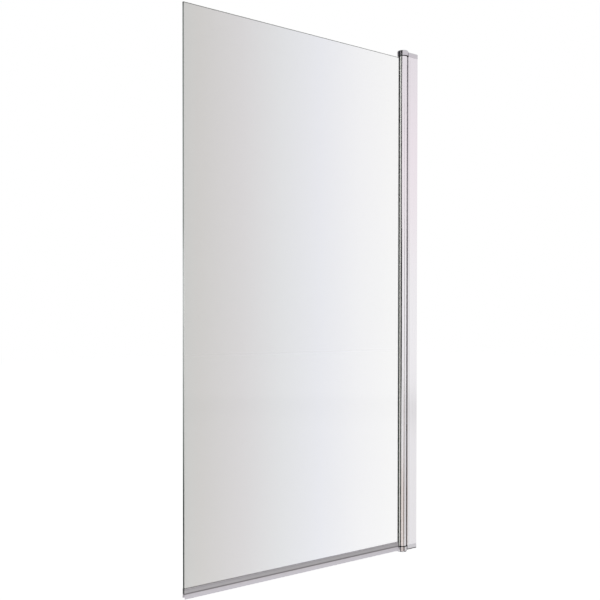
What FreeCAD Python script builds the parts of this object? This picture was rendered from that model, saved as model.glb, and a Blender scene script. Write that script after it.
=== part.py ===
import FreeCAD, Part
import os
import re

import Sketcher

# A single-panel bath screen: a sheet of toughened glass held in a round pivot barrel, which turns
# between two bullet-shaped end caps, in the cradle of a post that telescopes in a wall channel.
#
# Frame: +X points into the wall, whose face is x = 0, and the glass reaches out towards -X.
# +Y is the bath side of the closed screen, +Z is up. The origin is on the wall face, in the middle
# of the row of wall fixing holes, which is half-way up the wall channel.
# Pieces of the hinge are drawn about the pivot axis. Pieces of the two ends are drawn outwards from
# the end of the wall channel, and the bottom ones are the same pieces turned upside down.

SIZES = {
    # the whole screen
    "overall_width": 785.0,
    "glass_height": 1395.0,
    "glass_thickness": 6.0,
    "glass_arris": 0.8,
    "axis_from_wall": 45.5,
    # wall channel, set against the barrel's ends and round it
    "channel_setback": 0.5,
    "channel_margin": 1.0,
    "channel_wall": 1.5,
    "channel_base": 2.0,
    "fixing_from_end": 99.5,
    "fixing_hole_radius": 2.6,
    # hinge post
    "lip_from_axis": 8.5,
    "lip_rounding": 1.2,
    "head_margin": 2.0,
    "head_joint": 0.3,
    "tongue_clearance": 0.3,
    "tongue_wall": 1.5,
    "tongue_end_gap": 12.0,
    "cradle_gap": 0.8,
    "cradle_wall": 2.0,
    "wiper_width": 2.4,
    "wiper_depth": 2.0,
    "wiper_clearance": 0.3,
    # screw ports of the post and the screws in them
    "port_from_nose": 1.1,
    "port_merge": 0.3,
    "port_wall": 1.6,
    "screw_radius": 1.75,
    "screw_hole_gap": 0.05,
    "screw_way_gap": 0.35,
    "screw_head_radius": 3.2,
    "cap_screw_head": 1.6,
    "cap_screw_length": 28.0,
    # side screws that lock the post in the channel, and their covers
    "side_screw_from_end": 199.5,
    "side_screw_length": 5.0,
    "side_head_height": 1.8,
    "cover_radius": 5.5,
    "cover_height": 3.2,
    "cover_wall": 0.9,
    "cover_bevel": 1.2,
    # pivot barrel, as long as the glass and the gaps at its foot and head
    "glass_foot_gap": 1.0,
    "glass_head_gap": 4.0,
    "barrel_radius": 14.0,
    "barrel_wall": 1.8,
    "pocket_web": 1.4,
    "pocket_floor_gap": 0.6,
    "boss_wall": 2.0,
    "chamber_angle": 108.0,
    "pocket_rounding": 0.5,
    # glazing gaskets
    "gasket_thickness": 3.8,
    "gasket_recess": 0.2,
    "gasket_groove": 1.7,
    "gasket_groove_depth": 4.0,
    # pivots, from the barrel's end outwards
    "plug_flange": 1.2,
    "plug_inset": 0.7,
    "plug_tongue": 10.0,
    "plug_tongue_half": 6.0,
    "plug_fit": 0.15,
    "washer_thickness": 0.9,
    "washer_radius": 9.0,
    "end_play": 0.1,
    "pin_radius": 3.0,
    "pin_clearance": 0.05,
    "pin_seat": 9.0,
    "pin_reach": 15.0,
    "bush_wall": 1.15,
    "bush_length": 18.0,
    # end caps
    "nose_overhang": 2.0,
    "nose_rise": 4.5,
    "cap_height": 13.5,
    "cap_overhang": 0.5,
    "cap_wall_gap": 0.2,
    "cap_rounding": 3.5,
    "spigot_margin": 2.3,
    "spigot_depth": 8.0,
    "spigot_fit": 0.2,
    # bottom seal
    "seal_leg": 11.0,
    "seal_wall": 1.0,
    "seal_web": 1.2,
    "seal_fin": 0.8,
    "front_fin_drop": 14.5,
    "front_fin_splay": 2.2,
    "middle_fin_drop": 10.0,
    "rear_fin_drop": 11.5,
    "rear_fin_splay": 0.8,
    "seal_end_gap": 1.5,
}

SHEET = "Sizes"
AXIS = "-axis_from_wall"
GLASS_HALF = "(glass_thickness / 2)"
BARREL_LENGTH = "(glass_foot_gap + glass_height + glass_head_gap)"
GLASS_BOTTOM = "(glass_foot_gap - " + BARREL_LENGTH + " / 2)"
CHANNEL_LENGTH = "(" + BARREL_LENGTH + " - 2 * channel_setback)"
CHANNEL_HALF = "(barrel_radius + channel_margin)"
FIXING_REACH = "(" + CHANNEL_LENGTH + " / 2 - fixing_from_end)"
CRADLE = "(barrel_radius + cradle_gap)"
TONGUE_BACK = "(axis_from_wall - tongue_end_gap)"
TONGUE_HALF = "(" + CHANNEL_HALF + " - channel_wall - tongue_clearance)"
TONGUE_INNER = "(" + TONGUE_HALF + " - tongue_wall)"
LEG_START = "sqrt((" + CRADLE + " + cradle_wall)^2 - " + TONGUE_INNER + "^2)"
HEAD_BACK = "(" + LEG_START + " + head_margin)"
WIPER_ANGLE = "atan2(" + CHANNEL_HALF + "; " + LEG_START + ")"
BORE_RADIUS = "(pin_radius + pin_clearance + bush_wall)"
POCKET_HALF = "(" + GLASS_HALF + " + gasket_thickness)"
POCKET_FLOOR = "(" + BORE_RADIUS + " + pocket_web)"
POCKET_MOUTH = "-sqrt(barrel_radius^2 - " + POCKET_HALF + "^2)"
HOLLOW_OUTER = "(barrel_radius - barrel_wall)"
HOLLOW_INNER = "(" + BORE_RADIUS + " + boss_wall)"
GLASS_EDGE = "(" + POCKET_FLOOR + " + pocket_floor_gap)"
PLUG_FACE = "(channel_setback + plug_flange)"
NOSE_FACE = "(" + PLUG_FACE + " + washer_thickness + end_play)"
NOSE_RADIUS = "(barrel_radius + nose_overhang)"
NOSE_TOP = "(cap_height + nose_rise)"
CAP_HALF = "(" + CHANNEL_HALF + " + cap_overhang)"
SINK_RADIUS = "(screw_head_radius + screw_hole_gap)"
HOLE_RADIUS = "(screw_radius + screw_hole_gap)"
PORT_RADIUS = "(" + HOLE_RADIUS + " + port_wall)"
PORT_Y = "(" + TONGUE_INNER + " - " + PORT_RADIUS + " + port_merge)"
PORT_X = "sqrt((" + NOSE_RADIUS + " + screw_head_radius + port_from_nose)^2 - " + PORT_Y + "^2)"
SIDE_SCREW = "((" + PORT_X + " + " + PORT_RADIUS + " + " + TONGUE_BACK + ") / 2)"
SIDE_SCREW_REACH = "(" + CHANNEL_LENGTH + " / 2 - side_screw_from_end)"
SIDES = {"front": "-1", "rear": "1"}
ENDS = {"top": False, "bottom": True}
FIXING_COUNT = 3
SIDE_SCREW_COUNT = 3
TOLERANCE = 0.01

WORD = re.compile("[a-z_]+")
doc = FreeCAD.newDocument("bath_screen")


def make_sheet():
    """Lay the driving sizes out in a sheet, each in a cell that goes by its name."""
    sheet = doc.addObject("Spreadsheet::Sheet", SHEET)
    for row, (name, value) in enumerate(SIZES.items(), start=1):
        sheet.set("A%d" % row, name)
        sheet.set("B%d" % row, str(value))
        sheet.setAlias("B%d" % row, name)
    doc.recompute()
    return sheet


def linked(text):
    """Point each size's name in an expression at its cell."""
    return WORD.sub(lambda word: SHEET + "." + word[0] if word[0] in SIZES else word[0], text)


def tie(item, prop, text):
    """Bind a property to the sizes."""
    item.setExpression(prop, linked(text))


def number(text):
    """What an expression of the sizes comes to, in millimetres or degrees."""
    value = sheet.evalExpression(linked(text).replace(SHEET + ".", ""))
    return float(getattr(value, "Value", value))


def new_body(label, x="0", z="0", upside_down=False):
    """Start a sub-part at its place in the screen."""
    body = doc.addObject("PartDesign::Body", label)
    body.Label = label
    turn = FreeCAD.Rotation(FreeCAD.Vector(1, 0, 0), 180 if upside_down else 0)
    body.Placement = FreeCAD.Placement(FreeCAD.Vector(), turn)
    tie(body, "Placement.Base.x", x)
    tie(body, "Placement.Base.z", z)
    return body


def new_end_body(end, name):
    """Start a sub-part of the top or bottom end, drawn outwards from the channel's end."""
    height = CHANNEL_LENGTH + " / 2"
    return new_body(end + "_" + name, AXIS, "-" + height if ENDS[end] else height, ENDS[end])


def origin_feature(body, role):
    """One of a body's own origin planes or axes."""
    return next(item for item in body.Origin.OriginFeatures if item.Role == role)


def new_sketch(body, name, plane="XY_Plane", offset="0"):
    """Put a sketch on one of the body's own origin planes, or level with it."""
    sketch = body.newObject("Sketcher::SketchObject", name)
    sketch.AttachmentSupport = [(origin_feature(body, plane), "")]
    sketch.MapMode = "FlatFace"
    tie(sketch, "AttachmentOffset.Base.z", offset)
    return sketch


def hold(sketch, kind, edge, end, text):
    """Hold a point's distance from the sketch's origin, along one axis, to the sizes."""
    rule = Sketcher.Constraint(kind, -1, 1, edge, end, number(text))
    tie(sketch, "Constraints[%d]" % sketch.addConstraint(rule), text)


def circle(sketch, radius, x="0", y="0"):
    """Draw a circle."""
    place = FreeCAD.Vector(number(x), number(y), 0)
    edge = sketch.addGeometry(Part.Circle(place, FreeCAD.Vector(0, 0, 1), number(radius)))
    rule = Sketcher.Constraint("Radius", edge, number(radius))
    tie(sketch, "Constraints[%d]" % sketch.addConstraint(rule), radius)
    hold(sketch, "DistanceX", edge, 3, x)
    hold(sketch, "DistanceY", edge, 3, y)


def arc_between(start, end, way):
    """The arc about the sketch's origin from one corner to the next, and its ends' numbers."""
    first, last = (start, end) if way == "left" else (end, start)
    whole = Part.Circle(FreeCAD.Vector(), FreeCAD.Vector(0, 0, 1), start.Length)
    arc = Part.ArcOfCircle(whole, whole.parameter(first), whole.parameter(last))
    return arc, (1, 2) if way == "left" else (2, 1)


def outline(sketch, corners, arcs=None):
    """Draw a closed outline through the corners.

    The edge after a corner that arcs names is an arc about the sketch's origin, which turns left
    (counter-clockwise) or right. Every other edge is straight.
    """
    arcs = arcs or {}
    places = [FreeCAD.Vector(number(x), number(y), 0) for x, y in corners]
    edges = []
    for index, start in enumerate(places):
        end = places[(index + 1) % len(places)]
        ends = (1, 2)
        if index in arcs:
            shape, ends = arc_between(start, end, arcs[index])
        else:
            shape = Part.LineSegment(start, end)
        edges.append((sketch.addGeometry(shape), ends))
    for index, (x, y) in enumerate(corners):
        edge, ends = edges[index]
        before, ends_before = edges[index - 1]
        sketch.addConstraint(Sketcher.Constraint("Coincident", before, ends_before[1], edge, ends[0]))
        hold(sketch, "DistanceX", edge, ends[0], x)
        hold(sketch, "DistanceY", edge, ends[0], y)
        if index in arcs:
            sketch.addConstraint(Sketcher.Constraint("PointOnObject", edge, 3, -2))


def box_outline(sketch, low_x, high_x, low_y, high_y):
    """Draw a rectangle."""
    outline(sketch, [(low_x, low_y), (high_x, low_y), (high_x, high_y), (low_x, high_y)])


def pad(body, sketch, name, length):
    """Raise a sketch into a solid, along the sketch's normal."""
    feature = body.newObject("PartDesign::Pad", name)
    feature.Profile = sketch
    tie(feature, "Length", length)
    doc.recompute()
    return feature


def pocket(body, sketch, name, length, forwards=True):
    """Cut a sketch out of the body, and make sure that the cut took something away."""
    before = body.Shape.Volume
    feature = body.newObject("PartDesign::Pocket", name)
    feature.Profile = sketch
    feature.Reversed = forwards
    tie(feature, "Length", length)
    doc.recompute()
    if body.Shape.Volume > before - TOLERANCE:
        raise RuntimeError(name + " cuts nothing")
    return feature


def row_along_z(body, features, reach, count):
    """Repeat features upwards, from as far below the middle as the last one is above it."""
    pattern = body.newObject("PartDesign::LinearPattern", features[0].Name + "_row")
    pattern.Originals = features
    pattern.Direction = (origin_feature(body, "Z_Axis"), [""])
    pattern.Occurrences = count
    tie(pattern, "Length", "2 * " + reach)
    body.Tip = pattern
    doc.recompute()


def revolve(body, sketch, name):
    """Turn a sketch about its vertical axis into a solid."""
    feature = body.newObject("PartDesign::Revolution", name)
    feature.Profile = sketch
    feature.ReferenceAxis = (sketch, ["V_Axis"])
    feature.Angle = 360
    doc.recompute()


def edges_where(shape, test):
    """Names of the edges whose middle passes the test."""
    names = []
    for index, edge in enumerate(shape.Edges, start=1):
        middle = edge.valueAt((edge.FirstParameter + edge.LastParameter) / 2)
        if test(middle, edge):
            names.append("Edge%d" % index)
    return names


def soften(body, kind, name, size, test):
    """Round or bevel the edges of the body that pass the test."""
    base = body.Tip
    feature = body.newObject("PartDesign::" + kind, name)
    feature.Base = (base, edges_where(base.Shape, test))
    tie(feature, "Radius" if kind == "Fillet" else "Size", size)
    doc.recompute()
    return feature


def upright(edge):
    """Whether an edge runs straight up."""
    ends = [vertex.Point for vertex in edge.Vertexes]
    return len(ends) == 2 and (ends[1] - ends[0]).cross(FreeCAD.Vector(0, 0, 1)).Length < TOLERANCE


def near(value, text):
    """Whether a coordinate is what the sizes say."""
    return abs(value - number(text)) < TOLERANCE


def extrude(body, corners, length, arcs=None, start=None):
    """Make an upright extrusion that is centred on the body, or that starts where it is told."""
    sketch = new_sketch(body, body.Name + "_section", offset=start or "-%s / 2" % length)
    outline(sketch, corners, arcs)
    return pad(body, sketch, body.Name + "_extrusion", length)


# ---- wall side ----

def wall_channel():
    """The U-shaped channel that is screwed to the wall."""
    body = new_body("wall_channel")
    wide = CHANNEL_HALF
    inner = "(%s - channel_wall)" % CHANNEL_HALF
    deep = "-(axis_from_wall - %s - head_joint)" % HEAD_BACK
    base = "-channel_base"
    extrude(body, [
        ("0", "-" + wide), ("0", wide), (deep, wide), (deep, inner),
        (base, inner), (base, "-" + inner), (deep, "-" + inner), (deep, "-" + wide),
    ], CHANNEL_LENGTH)
    holes = new_sketch(body, "fixing_hole_sketch", "YZ_Plane")
    circle(holes, "fixing_hole_radius", "0", "-" + FIXING_REACH)
    cut = pocket(body, holes, "fixing_holes", "channel_base", forwards=False)
    row_along_z(body, [cut], FIXING_REACH, FIXING_COUNT)
    side_holes(body, wide, "channel_wall", "screw_radius + screw_way_gap", AXIS)
    return body


def side_holes(body, face, depth, radius, axis):
    """Drill the row of side screw holes inwards from a face on the bath side."""
    sketch = new_sketch(body, body.Name + "_side_sketch", "XZ_Plane", "-" + face)
    circle(sketch, radius, "%s + %s" % (axis, SIDE_SCREW), "-" + SIDE_SCREW_REACH)
    cut = pocket(body, sketch, body.Name + "_side_holes", depth, forwards=True)
    row_along_z(body, [cut], SIDE_SCREW_REACH, SIDE_SCREW_COUNT)


def hinge_post():
    """The post whose tongue slides in the channel and whose head cradles the barrel."""
    body = new_body("hinge_post", AXIS)
    wide = CHANNEL_HALF
    lip_y = "sqrt(%s^2 - lip_from_axis^2)" % CRADLE
    extrude(body, [
        ("lip_from_axis", "-" + wide), (HEAD_BACK, "-" + wide),
        (HEAD_BACK, "-" + TONGUE_HALF), (TONGUE_BACK, "-" + TONGUE_HALF),
        (TONGUE_BACK, "-" + TONGUE_INNER), (LEG_START, "-" + TONGUE_INNER),
        (LEG_START, TONGUE_INNER), (TONGUE_BACK, TONGUE_INNER),
        (TONGUE_BACK, TONGUE_HALF), (HEAD_BACK, TONGUE_HALF),
        (HEAD_BACK, wide), ("lip_from_axis", wide),
        ("lip_from_axis", lip_y), ("lip_from_axis", "-" + lip_y),
    ], CHANNEL_LENGTH, {5: "left", 12: "right"})
    foot = "-%s / 2" % CHANNEL_LENGTH
    ports = new_sketch(body, "port_sketch", offset=foot)
    port_holes = new_sketch(body, "port_hole_sketch", offset=foot)
    grooves = new_sketch(body, "wiper_groove_sketch", offset=foot)
    for side in SIDES.values():
        circle(ports, PORT_RADIUS, PORT_X, side + " * " + PORT_Y)
        circle(port_holes, HOLE_RADIUS, PORT_X, side + " * " + PORT_Y)
        outline(grooves, wiper_corners(side, "(%s - wiper_depth / 2)" % CRADLE,
                                       "(%s + wiper_depth)" % CRADLE, "wiper_width"))
    pad(body, ports, "screw_ports", CHANNEL_LENGTH)
    pocket(body, port_holes, "port_holes", CHANNEL_LENGTH)
    pocket(body, grooves, "wiper_grooves", CHANNEL_LENGTH)
    side_holes(body, TONGUE_HALF, "tongue_wall", HOLE_RADIUS, "0")
    soften(body, "Fillet", "lip_corners", "min(lip_rounding; (%s - %s) * 0.8)" % (wide, lip_y),
           lambda at, edge: upright(edge) and near(at.x, "lip_from_axis") and near(abs(at.y), wide))
    return body


def wiper_corners(side, low, high, width):
    """Corners of a bar that stands in the cradle and points out over the start of a leg."""
    along = ("cos(%s)" % WIPER_ANGLE, "%s * sin(%s)" % (side, WIPER_ANGLE))
    across = ("-%s * sin(%s)" % (side, WIPER_ANGLE), "cos(%s)" % WIPER_ANGLE)
    corners = []
    for reach, half in ((low, "-"), (high, "-"), (high, "+"), (low, "+")):
        corners.append(tuple(
            "%s * %s %s %s / 2 * (%s)" % (reach, along[axis], half, width, across[axis])
            for axis in (0, 1)
        ))
    return corners


def cradle_wiper(name, side):
    """A soft strip in the cradle's groove that wipes the turning barrel."""
    body = new_body("cradle_wiper_" + name, AXIS)
    low = "(barrel_radius + wiper_clearance)"
    high = "(%s + wiper_depth)" % CRADLE
    extrude(body, wiper_corners(side, low, high, "wiper_width"), CHANNEL_LENGTH)
    return body


def end_cap(end):
    """A bullet-shaped cap over the channel, the post and the barrel's end."""
    body = new_end_body(end, "cap")
    wall = "axis_from_wall - cap_wall_gap"
    plan = new_sketch(body, end + "_cap_plan")
    box_outline(plan, "lip_from_axis", wall, "-" + CAP_HALF, CAP_HALF)
    pad(body, plan, end + "_cap_arm", "cap_height")
    nose = new_sketch(body, end + "_nose_profile", "XZ_Plane")
    outline(nose, nose_corners())
    revolve(body, nose, end + "_cap_nose")
    room = new_sketch(body, end + "_barrel_room_plan")
    circle(room, CRADLE)
    pocket(body, room, end + "_barrel_room", NOSE_FACE)
    spigot = new_sketch(body, end + "_spigot_plan", offset="-spigot_depth")
    half = "(%s - channel_wall - spigot_fit)" % CHANNEL_HALF
    box_outline(spigot, TONGUE_BACK + " + spigot_margin",
                "axis_from_wall - channel_base - spigot_fit", "-" + half, half)
    pad(body, spigot, end + "_spigot", "spigot_depth + " + NOSE_FACE)
    seat = new_sketch(body, end + "_pin_seat_plan", offset=NOSE_FACE)
    circle(seat, "pin_radius")
    pocket(body, seat, end + "_pin_seat", "pin_seat")
    ways = new_sketch(body, end + "_screw_way_plan")
    sinks = new_sketch(body, end + "_sink_plan", offset="cap_height - cap_screw_head")
    for side in SIDES.values():
        circle(ways, "screw_radius + screw_way_gap", PORT_X, side + " * " + PORT_Y)
        circle(sinks, SINK_RADIUS, PORT_X, side + " * " + PORT_Y)
    pocket(body, ways, end + "_screw_ways", "cap_height")
    pocket(body, sinks, end + "_screw_sinks", "cap_screw_head")
    soften(body, "Fillet", end + "_arm_rounding",
           "min(cap_rounding; %s - %s - %s - port_merge / 2)" % (CAP_HALF, PORT_Y, SINK_RADIUS),
           lambda at, edge: near(at.z, "cap_height") and near(abs(at.y), CAP_HALF))
    return body


def nose_corners():
    """Half the section of a cap's nose, whose rounding is turned as two bevels on its arc."""
    inset = "(%s - cap_rounding * (1 - cos(45deg)))"
    return [
        ("0", NOSE_FACE), (NOSE_RADIUS, NOSE_FACE), (NOSE_RADIUS, NOSE_TOP + " - cap_rounding"),
        (inset % NOSE_RADIUS, inset % NOSE_TOP),
        (NOSE_RADIUS + " - cap_rounding", NOSE_TOP), ("0", NOSE_TOP),
    ]


def pivot_pin(end):
    """The steel pin that is pressed into a cap's nose and carries the barrel's bush."""
    body = new_end_body(end, "pivot_pin")
    plan = new_sketch(body, end + "_pin_plan", offset=NOSE_FACE + " - pin_reach")
    circle(plan, "pin_radius")
    pad(body, plan, end + "_pin", "pin_reach + pin_seat")
    return body


def cap_screws():
    """The four screws that hold the caps on the post's screw ports, two at each end."""
    body = new_body("cap_screws", AXIS)
    body.AllowCompound = True
    top = CHANNEL_LENGTH + " / 2 + cap_height"
    heads = new_sketch(body, "cap_screw_head_plan", offset=top + " - cap_screw_head")
    shanks = new_sketch(body, "cap_screw_shank_plan", offset=top + " - cap_screw_length")
    for side in SIDES.values():
        circle(heads, "screw_head_radius", PORT_X, side + " * " + PORT_Y)
        circle(shanks, "screw_radius", PORT_X, side + " * " + PORT_Y)
    both = [
        pad(body, heads, "cap_screw_heads", "cap_screw_head"),
        pad(body, shanks, "cap_screw_shanks", "cap_screw_length - cap_screw_head / 2"),
    ]
    mirror = body.newObject("PartDesign::Mirrored", "bottom_cap_screws")
    mirror.Originals = both
    mirror.MirrorPlane = (origin_feature(body, "XY_Plane"), [""])
    body.Tip = mirror
    doc.recompute()
    return body


def side_fixing_screws():
    """The three pan-head screws that lock the post in the channel, on the bath side."""
    body = new_body("side_fixing_screws", AXIS)
    body.AllowCompound = True
    head = new_sketch(body, "side_head_sketch", "XZ_Plane", "-(%s + side_head_height)" % CHANNEL_HALF)
    circle(head, "screw_head_radius", SIDE_SCREW, "-" + SIDE_SCREW_REACH)
    heads = pad(body, head, "side_screw_heads", "side_head_height")
    shank = new_sketch(body, "side_shank_sketch", "XZ_Plane",
                       "-(%s + side_head_height / 2)" % CHANNEL_HALF)
    circle(shank, "screw_radius", SIDE_SCREW, "-" + SIDE_SCREW_REACH)
    shanks = pad(body, shank, "side_screw_shanks", "side_screw_length + side_head_height / 2")
    row_along_z(body, [heads, shanks], SIDE_SCREW_REACH, SIDE_SCREW_COUNT)
    return body


def screw_cover_caps():
    """The bevelled push-on covers over the side screws' heads."""
    body = new_body("screw_cover_caps", AXIS)
    body.AllowCompound = True
    outside = CHANNEL_HALF + " + cover_height"
    shell = new_sketch(body, "cover_sketch", "XZ_Plane", "-(%s)" % outside)
    circle(shell, "cover_radius", SIDE_SCREW, "-" + SIDE_SCREW_REACH)
    shells = pad(body, shell, "cover_shells", "cover_height")
    bevel = soften(body, "Chamfer", "cover_bevels", "cover_bevel", lambda at, edge: near(at.y, outside))
    hollow = new_sketch(body, "cover_hollow_sketch", "XZ_Plane", "-" + CHANNEL_HALF)
    circle(hollow, "cover_radius - cover_wall", SIDE_SCREW, "-" + SIDE_SCREW_REACH)
    hollows = pocket(body, hollow, "cover_hollow", "cover_height - cover_wall", forwards=False)
    row_along_z(body, [shells, bevel, hollows], SIDE_SCREW_REACH, SIDE_SCREW_COUNT)
    return body


# ---- door side ----

def pivot_barrel():
    """The round extrusion: a pocket for the glass, a bore for the pivots and a hollow back."""
    body = new_body("pivot_barrel", AXIS)
    floor = "-" + POCKET_FLOOR
    extrude(body, [
        (POCKET_MOUTH, "-" + POCKET_HALF), (POCKET_MOUTH, POCKET_HALF),
        (floor, POCKET_HALF), (floor, "-" + POCKET_HALF),
    ], BARREL_LENGTH, {0: "left"})
    foot = "-%s / 2" % BARREL_LENGTH
    bore = new_sketch(body, "bore_plan", offset=foot)
    circle(bore, BORE_RADIUS)
    pocket(body, bore, "pivot_bore", BARREL_LENGTH)
    chamber = new_sketch(body, "chamber_plan", offset=foot)
    cos, sin = "cos(chamber_angle * 1deg)", "sin(chamber_angle * 1deg)"
    outline(chamber, [
        ("%s * %s" % (HOLLOW_OUTER, cos), "-%s * %s" % (HOLLOW_OUTER, sin)),
        ("%s * %s" % (HOLLOW_OUTER, cos), "%s * %s" % (HOLLOW_OUTER, sin)),
        ("%s * %s" % (HOLLOW_INNER, cos), "%s * %s" % (HOLLOW_INNER, sin)),
        ("%s * %s" % (HOLLOW_INNER, cos), "-%s * %s" % (HOLLOW_INNER, sin)),
    ], {0: "left", 2: "right"})
    pocket(body, chamber, "hollow_back", BARREL_LENGTH)
    soften(body, "Fillet", "pocket_mouth", "pocket_rounding",
           lambda at, edge: upright(edge) and near(at.x, POCKET_MOUTH))
    return body


def glass_panel():
    """The toughened glass, with square corners and flat-ground edges."""
    body = new_body("glass_panel")
    low = "-overall_width"
    high = AXIS + " - " + GLASS_EDGE
    extrude(body, [
        (low, "-" + GLASS_HALF), (high, "-" + GLASS_HALF), (high, GLASS_HALF), (low, GLASS_HALF),
    ], "glass_height", start=GLASS_BOTTOM)
    soften(body, "Chamfer", "ground_edges", "glass_arris",
           lambda at, edge: near(abs(at.y), GLASS_HALF))
    return body


def glazing_gasket(name, side):
    """A soft wedge between the glass and the side of the barrel's pocket."""
    body = new_body("glazing_gasket_" + name, AXIS)
    face = "(barrel_radius - gasket_recess)"
    lip = "(%s - gasket_groove)" % POCKET_HALF
    step = POCKET_MOUTH + " + gasket_groove_depth"
    corners = [
        ("-sqrt(%s^2 - %s^2)" % (face, GLASS_HALF), "%s * %s" % (side, GLASS_HALF)),
        ("-sqrt(%s^2 - %s^2)" % (face, lip), "%s * %s" % (side, lip)),
        (step, "%s * %s" % (side, lip)),
        (step, "%s * %s" % (side, POCKET_HALF)),
        ("-" + GLASS_EDGE, "%s * %s" % (side, POCKET_HALF)),
        ("-" + GLASS_EDGE, "%s * %s" % (side, GLASS_HALF)),
    ]
    extrude(body, corners, BARREL_LENGTH, {0: "left" if name == "front" else "right"})
    return body


def glass_setting_block():
    """The thin block in the foot of the pocket that the glass stands on."""
    body = new_body("glass_setting_block", AXIS)
    high = "-" + GLASS_EDGE
    extrude(body, [
        (POCKET_MOUTH, "-" + GLASS_HALF), (high, "-" + GLASS_HALF), (high, GLASS_HALF),
        (POCKET_MOUTH, GLASS_HALF),
    ], "glass_foot_gap", start="-%s / 2" % BARREL_LENGTH)
    return body


def end_plug(end):
    """The moulded plug that closes the barrel's end, with a tongue in its hollow."""
    body = new_end_body(end, "end_plug")
    flange = new_sketch(body, end + "_plug_plan", offset="channel_setback")
    circle(flange, "barrel_radius - plug_inset")
    circle(flange, BORE_RADIUS)
    pad(body, flange, end + "_plug_flange", "plug_flange")
    tongue = new_sketch(body, end + "_plug_tongue_plan", offset="channel_setback - plug_tongue")
    reach = "sqrt((%s - plug_fit)^2 - plug_tongue_half^2)" % HOLLOW_OUTER
    box_outline(tongue, HOLLOW_INNER + " + plug_fit", reach, "-plug_tongue_half", "plug_tongue_half")
    pad(body, tongue, end + "_plug_tongue", "plug_tongue + plug_flange / 2")
    return body


def pivot_bush(end):
    """The bearing sleeve pressed into the barrel's bore."""
    body = new_end_body(end, "pivot_bush")
    plan = new_sketch(body, end + "_bush_plan", offset=PLUG_FACE + " - bush_length")
    circle(plan, BORE_RADIUS)
    circle(plan, "pin_radius + pin_clearance")
    pad(body, plan, end + "_bush", "bush_length")
    return body


def thrust_washer(end):
    """The washer that takes the wear between the plug and the cap."""
    body = new_end_body(end, "thrust_washer")
    plan = new_sketch(body, end + "_washer_plan", offset=PLUG_FACE)
    circle(plan, "washer_radius")
    circle(plan, "pin_radius + pin_clearance")
    pad(body, plan, end + "_washer", "washer_thickness")
    return body


def bottom_seal():
    """The clear push-on channel along the glass's foot, with three hanging fins."""
    body = new_body("bottom_seal", "-overall_width", GLASS_BOTTOM)
    out = "(%s + seal_wall)" % GLASS_HALF
    web = "-seal_web"
    sketch = new_sketch(body, "seal_section", "YZ_Plane")
    outline(sketch, [
        ("-" + GLASS_HALF, "0"), ("-" + GLASS_HALF, "seal_leg"), ("-" + out, "seal_leg"),
        ("-" + out, web), ("-%s - front_fin_splay" % out, "-front_fin_drop"),
        ("-%s - front_fin_splay + seal_fin" % out, "-front_fin_drop"),
        ("-%s + seal_fin" % out, web),
        ("-seal_fin / 2", web), ("-seal_fin / 2", "-middle_fin_drop"),
        ("seal_fin / 2", "-middle_fin_drop"), ("seal_fin / 2", web),
        ("%s - seal_fin" % out, web),
        ("%s + rear_fin_splay - seal_fin" % out, "-rear_fin_drop"),
        ("%s + rear_fin_splay" % out, "-rear_fin_drop"), (out, web),
        (out, "seal_leg"), (GLASS_HALF, "seal_leg"), (GLASS_HALF, "0"),
    ])
    pad(body, sketch, "seal_extrusion", "overall_width - axis_from_wall - %s - seal_end_gap" % NOSE_RADIUS)
    return body


def check_and_write(parts):
    """Stop on anything that failed, then write each sub-part to its own file."""
    for item in doc.Objects:
        if "Invalid" in item.State or "Error" in item.State:
            raise RuntimeError(item.Name + " failed")
    os.makedirs("parts", exist_ok=True)
    for body in parts:
        if body.Shape.isNull() or not body.Shape.isValid():
            raise RuntimeError(body.Label + " has no sound shape")
    for body in parts:
        body.Shape.exportStep("parts/" + body.Label + ".step")
        print(body.Label, len(body.Shape.Solids), round(body.Shape.Volume, 1))


sheet = make_sheet()
made = [wall_channel(), hinge_post(), side_fixing_screws(), screw_cover_caps(), cap_screws()]
made += [cradle_wiper(name, side) for name, side in SIDES.items()]
made += [pivot_barrel(), glass_panel(), glass_setting_block(), bottom_seal()]
made += [glazing_gasket(name, side) for name, side in SIDES.items()]
for one_end in ENDS:
    made += [end_cap(one_end), pivot_pin(one_end), end_plug(one_end)]
    made += [pivot_bush(one_end), thrust_washer(one_end)]
doc.recompute()
check_and_write(made)
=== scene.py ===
"""Looks of a wall-hung bath screen: clear glass in a round pivot barrel between two bullet caps.

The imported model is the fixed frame: +X points into the wall, whose face is x = 0, the closed glass
reaches out towards -X, +Y is the bath side and +Z is up. All lengths here are in metres.
"""

import logging
import math
from dataclasses import dataclass
from enum import Enum
from typing import Callable, Iterable, Optional

import bmesh
import bpy
from mathutils import Matrix, Vector


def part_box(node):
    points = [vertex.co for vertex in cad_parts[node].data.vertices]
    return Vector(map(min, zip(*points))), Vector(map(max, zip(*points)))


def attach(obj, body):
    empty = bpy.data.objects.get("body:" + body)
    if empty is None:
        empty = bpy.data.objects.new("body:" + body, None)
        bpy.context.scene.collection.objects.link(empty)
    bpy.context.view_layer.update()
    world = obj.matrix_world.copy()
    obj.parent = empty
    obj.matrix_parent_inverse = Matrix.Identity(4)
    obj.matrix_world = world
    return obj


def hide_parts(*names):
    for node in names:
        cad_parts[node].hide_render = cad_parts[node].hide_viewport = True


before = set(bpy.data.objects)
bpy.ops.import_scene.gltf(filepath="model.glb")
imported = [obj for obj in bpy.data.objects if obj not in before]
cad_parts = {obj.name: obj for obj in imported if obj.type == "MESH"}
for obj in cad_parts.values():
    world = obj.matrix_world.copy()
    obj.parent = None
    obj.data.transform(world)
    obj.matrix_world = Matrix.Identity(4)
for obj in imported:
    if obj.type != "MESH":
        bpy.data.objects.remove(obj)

MM = 0.001
# The upright axis that the glass turns about, and how far up and down the wall channel reaches.
PIVOT_X = -45.5 * MM
CHANNEL_END = 699.5 * MM
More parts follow.
